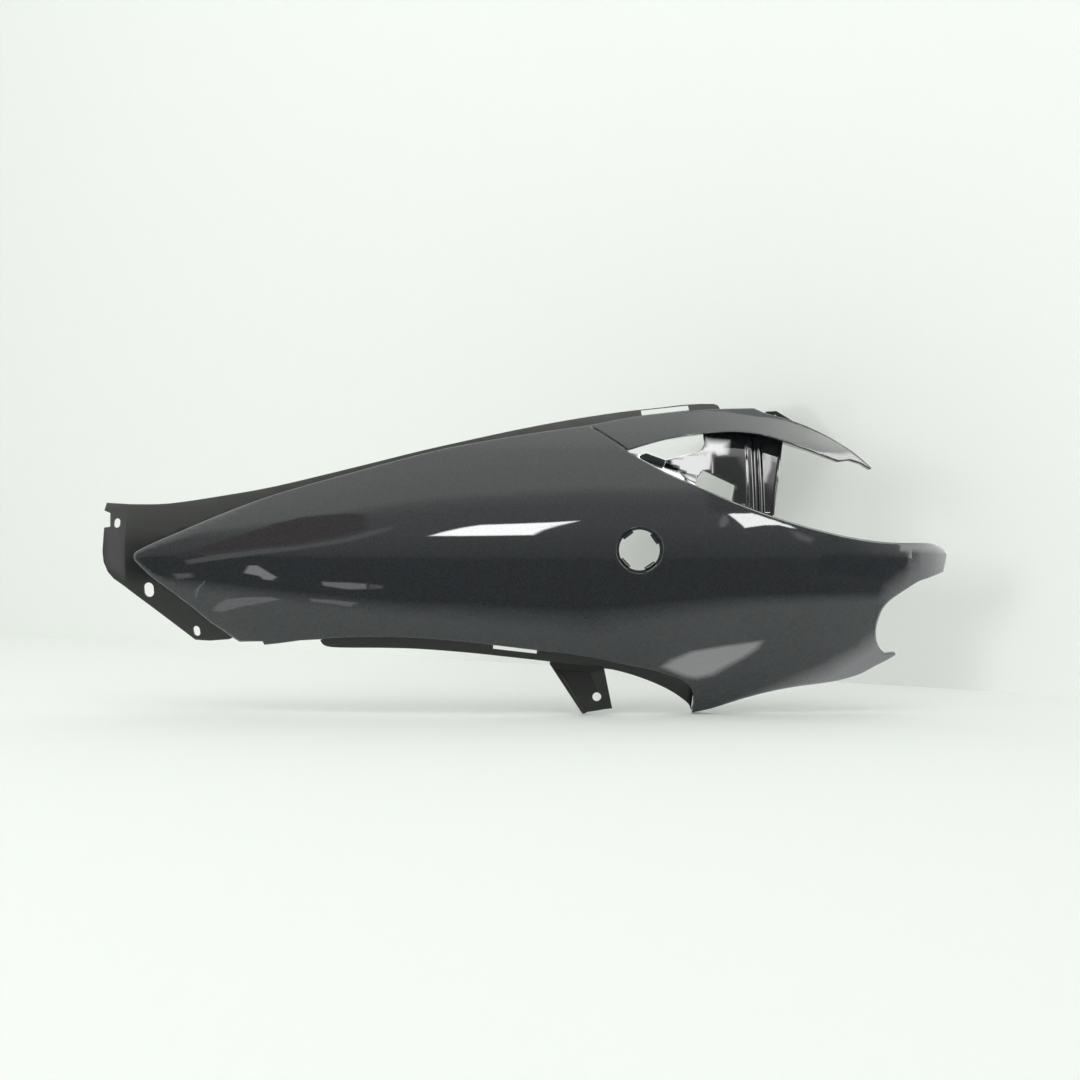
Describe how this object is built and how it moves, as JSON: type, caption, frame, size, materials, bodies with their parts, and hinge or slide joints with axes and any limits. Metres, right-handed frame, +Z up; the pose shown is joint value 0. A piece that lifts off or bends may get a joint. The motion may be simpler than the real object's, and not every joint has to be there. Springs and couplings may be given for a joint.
{
  "type": "scooter side panel",
  "caption": "Moulded rear side cover with a pointed nose, a set-back mounting flange, a round recessed seat and a forked tail round a lamp opening.",
  "frame": {"origin": "centre of the lower fixing hole, on the outer face of the lower tab", "axes": "+X towards the tail of the scooter, +Z up, the painted outer face looks towards -Y"},
  "size_m": [0.8118, 0.0858, 0.2941],
  "materials": {
    "painted_shell": "gloss anthracite metallic paint on a moulded shell"
  },
  "bodies": {
    "root": {"side_panel": "painted_shell"}
  },
  "joints": []
}
